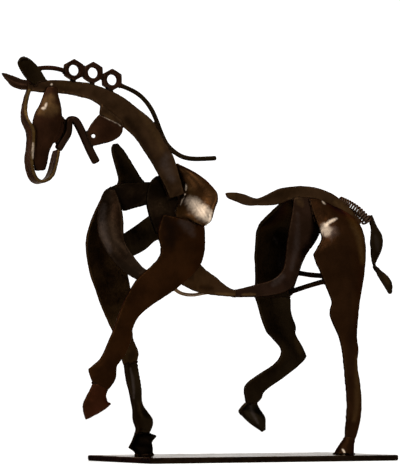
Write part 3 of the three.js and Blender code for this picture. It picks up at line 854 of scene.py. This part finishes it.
# %% Strokes of gold and painted light, painted sheen, soot and painted shade, and painted highlights
STROKE_STEPS = 12                    # points along each span of a stroke
STROKE_TAPER = 0.35                  # how much of its reach a stroke loses at its ends
STROKE_BREAKUP = 0.16                # how much noise moves a stroke's outline
BREAKUP_SIZE = 4 * MM
STROKES = {                          # kind, reach, strength and points
    "shoulder_cap": [
        ("bare", 10, 0.55, [(-68, -24, 231), (-66, -33, 226), (-63, -38, 219), (-58, -41, 213)]),
        ("bare", 7, 0.5, [(-66, -30, 228), (-60, -37, 222), (-55, -40, 218)]),
        ("bare", 2.6, 0.95, [(-62, -36, 223), (-60, -39, 218), (-58, -41, 213)]),
        ("bare", 2.2, 0.8, [(-66, -31, 227), (-65, -36, 222), (-63, -39, 216)]),
        ("bare", 2.8, 1.0, [(-56, -41, 217), (-56, -42, 212), (-59, -41, 208)]),
        ("bare", 1.6, 1.0, [(-74, -20, 226.5), (-71, -17.5, 230.5), (-69, -18, 232.5)]),
        ("bare", 1.6, 1.0, [(-65, -14, 245), (-66, -15, 239.5)]),
        ("bare", 1.5, 1.0, [(-68, -17, 237), (-69, -17, 234.5)]),
        ("gold_and_painted_light", 9, 0.4, [(-66, -16, 240), (-66, -23, 234)]),
        ("soot_and_shade", 9, 0.85, [(-70, -8, 260), (-66, -12, 256), (-69, -9, 252)]),
        ("soot_and_shade", 8, 0.5, [(-60, -16, 250), (-55, -26, 242), (-50, -35, 232)]),
    ],
    "left_foreleg": [
        ("soot_and_shade", 16, 1.0, [(-98, -33, 214), (-92, -35, 205), (-92, -35, 192)]),
        ("painted_sheen", 9, 0.3, [(-82, -37, 210), (-74, -38, 206), (-70, -38, 200)]),
    ],
    "left_hind_leg": [
        ("bare", 3.6, 0.9, [(74, -19.5, 210.5), (76, -20, 213)]),
        ("bare", 2.6, 0.65, [(75, -20, 213), (80, -20, 216), (86, -20.5, 219)]),
        ("bare", 8, 0.36, [(74, -20, 211), (74, -22.5, 205)]),
        ("bare", 2.2, 0.5, [(72, -20, 209), (70, -20.5, 206), (69, -21, 203)]),
        ("bare", 1.8, 0.6, [(77, -10, 234.5), (79, -11, 231.5)]),
        ("painted_sheen", 14, 0.5, [(75, -22, 206), (79, -23, 206)]),
        ("soot_and_shade", 9, 0.6, [(69, -27, 192), (74, -28, 193)]),
        ("soot_and_shade", 10, 0.6, [(72, -12, 226), (71, -15, 219)]),
        ("gold_and_painted_light", 9, 0.4, [
            (99, -13, 225), (102, -20, 218), (105, -26, 206), (107, -28, 195), (108, -29, 180),
        ]),
        ("gold_and_painted_light", 6, 0.3, [(102, -28, 92), (103, -28, 81), (102, -29, 63), (102, -29, 50), (99, -28, 36)]),
        ("soot_and_shade", 6, 0.35, [(93, -29, 150), (94, -29, 108), (94, -28, 90), (94, -28, 72), (95, -28, 54)]),
    ],
    "neck_strap": [
        ("soot_and_shade", 10, 0.85, [
            (-118, -3, 301), (-110, -4, 290), (-102, -6, 276), (-96, -8, 264), (-92, -9, 256),
        ]),
        ("soot_and_shade", 6, 0.6, [(-206, 12, 329), (-193, 10, 327)]),
        ("soot_and_shade", 5, 0.8, [(-71, -13, 240), (-76, -13, 234)]),
        ("gold_and_painted_light", 6, 0.25, [(-107, -6, 308), (-98, -7, 298), (-90, -8, 286), (-86, -8, 275)]),
        ("gold_and_painted_light", 5, 0.2, [(-181, 8, 331), (-161, 4, 329)]),
        ("gold_and_painted_light", 6, 0.35, [(-140, -1, 304), (-133, -2, 300)]),
        ("painted_sheen", 9, 0.35, [(-82, -9, 270), (-84, -9, 262), (-78, -12, 249)]),
        ("bare", 1.5, 1.0, [(-187, 8.5, 330), (-186, 8.5, 330)]),
    ],
    "face_sheet": [
        ("gold_and_painted_light", 9, 0.75, [(-189, 2, 318), (-193, 2, 313), (-187, 0, 309)]),
        ("gold_and_painted_light", 10, 0.6, [(-199, 4, 305), (-192, 0, 307), (-186, 0, 307)]),
        ("bare", 2.4, 1.0, [(-197.5, 3.3, 308), (-195.5, 2.4, 308)]),
        ("bare", 1.8, 0.8, [(-195.5, 2.5, 308), (-194, 2.4, 312.5)]),
        ("soot_and_shade", 9, 0.5, [(-189, 0, 294), (-186, 1, 288), (-189, 2, 281)]),
    ],
    "muzzle_bar": [
        ("gold_and_painted_light", 8, 0.55, [(-206, 12, 290), (-205, 12, 277), (-207, 9, 267), (-207, 9, 258)]),
        ("bare", 1.8, 0.7, [(-207, 2.1, 277), (-207, 2.1, 264)]),
    ],
    "throat_sheet": [("bare", 1.6, 1.2, [(-144, -0.5, 304), (-136, -4, 300.5), (-126, -5, 295.5)])],
    "left_shoulder_blade": [("bare", 1.8, 1.0, [(-76.6, -17.5, 221), (-77.4, -18, 217.5)])],
    "breast_strap": [
        ("soot_and_shade", 8, 1.0, [
            (-122, 15, 237), (-123, 6, 222), (-124, 1, 213), (-125, -3, 202), (-125, -9, 193),
        ]),
        ("painted_sheen", 6, 0.25, [(-133, 13, 226), (-138, 7, 212), (-139, 0, 199), (-137, -7, 185)]),
    ],
    "right_foreleg": [
        ("gold_and_painted_light", 14, 0.14, [(-120, 31, 174), (-111, 29, 168), (-106, 28, 156), (-116, 31, 152)]),
        ("soot_and_shade", 7, 0.5, [(-98, 25, 97), (-101, 26, 91)]),
    ],
    "right_cannon": [
        ("painted_sheen", 2.8, 0.55, [(-101, 25, 82), (-99, 25, 74), (-98, 24, 63), (-98, 23, 56)]),
        ("gold_and_painted_light", 5, 0.15, [(-92, 24, 50), (-89, 26, 41)]),
    ],
    "girth_strap": [
        ("soot_and_shade", 8, 0.7, [(-68, -25, 165), (-65, -24, 162)]),
        ("soot_and_shade", 5, 0.6, [(-39, -14, 153), (-54, -20, 154)]),
        ("gold_and_painted_light", 2.2, 0.9, [(-35, -13, 149), (-24, -10, 148.5), (-12, -7, 148.5)]),
    ],
    "flank_strap": [
        ("gold_and_painted_light", 2.2, 0.8, [(-4, -5, 148.5), (10, -4, 149)]),
        ("gold_and_painted_light", 6, 0.3, [(53, -5, 236), (57, -7, 231)]),
        ("painted_sheen", 5, 0.3, [(53, -6, 222), (52, -7, 205), (50, -8, 190), (46, -7, 172)]),
        ("painted_sheen", 6, 0.3, [(38, -6, 166), (28, -6, 158)]),
        ("soot_and_shade", 7, 0.5, [(39, -6, 161), (45, -6, 158), (50, -7, 164)]),
        ("soot_and_shade", 6, 0.8, [(69, -11, 226), (68, -11, 212), (66, -11, 199)]),
    ],
    "right_thigh": [
        ("painted_sheen", 3.5, 0.35, [(47, 26, 202), (51, 27, 197)]),
        ("painted_sheen", 4.5, 0.25, [(53, 27, 184), (55, 26, 173)]),
        ("painted_sheen", 5, 0.2, [(62, 24, 205), (62, 26, 191), (57, 26, 180)]),
    ],
    "right_hind_leg": [("gold_and_painted_light", 7, 0.12, [(69, 23, 109), (73, 24, 98)])],
    "right_hind_hoof": [("painted_sheen", 3, 0.6, [(20, 24, 51), (22, 26, 47), (26, 27, 39), (29, 25, 33)])],
    "croup_strap": [
        ("gold_and_painted_light", 7, 0.4, [(94, -5, 234), (101, -5, 229), (109, -6, 225)]),
        ("gold_and_painted_light", 5, 0.25, [(-17, -2, 239), (-10, -2, 237)]),
        ("soot_and_shade", 7, 0.5, [(10, -2, 232), (27, -2, 238), (37, -2, 240)]),
    ],
    "left_hind_hoof": [
        ("bare", 1.3, 0.9, [(85.5, -29.8, 10), (87, -32, 6.3)]),
        ("soot_and_shade", 5, 0.8, [(82, -27, 7), (84, -28, 10)]),
    ],
    "tail_strip": [
        ("painted_sheen", 4, 0.15, [(138, -3, 205), (140, -3, 192)]),
        ("gold_and_painted_light", 5, 0.18, [(147, -3, 172), (151, -3, 162)]),
    ],
}


def stroke_line(points):
    pairs = zip(points, points[1:])
    shares = [step / STROKE_STEPS for step in range(STROKE_STEPS + 1)]
    return [Vector(a).lerp(Vector(b), share) * MM for a, b in pairs for share in shares]


def stroke_value(places, line, reach):
    """How strongly a stroke lies on each place: it thins to its ends, and noise breaks it up."""
    tree = point_tree(line)
    low, high = np.min(line, axis=0) - reach, np.max(line, axis=0) + reach
    value = np.zeros(len(places))
    for index in np.flatnonzero(((places > low) & (places < high)).all(1)):
        place = Vector(places[index])
        _, step, away = tree.find(place)
        taper = 1 - STROKE_TAPER + STROKE_TAPER * math.sin(math.pi * step / (len(line) - 1))
        uneven = STROKE_BREAKUP * field.fractal(place / BREAKUP_SIZE, 1.0, 2.0, 4)
        near = min(max(1 - away / (reach * taper) + uneven, 0), 1)
        value[index] = near * near * (3 - 2 * near)
    return value


def lay_strokes(node, strokes):
    piece = worked[node]
    places = vertex_places(piece.data)
    for kind in ("gold_and_painted_light", "painted_sheen", "soot_and_shade", "bare"):
        value = np.zeros(len(places))
        for this, reach, strength, points in strokes:
            if this == kind:
                laid = stroke_value(places, stroke_line(points), reach * MM)
                value = np.maximum(value, laid * strength)
        store(piece, kind, value)


for node, strokes in STROKES.items():
    lay_strokes(node, strokes)
for piece in worked.values():
    store(piece, "heat", nearness(vertex_places(piece.data), weld_points, HEAT_REACH))
print("pieces with strokes:", len(STROKES))

# %% [markdown]
# Last, the triangles of all the shown pieces are counted.

# %% Triangle count
total = sum(len(polygon.vertices) - 2 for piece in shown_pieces() for polygon in piece.data.polygons)
print("triangles in all:", total)
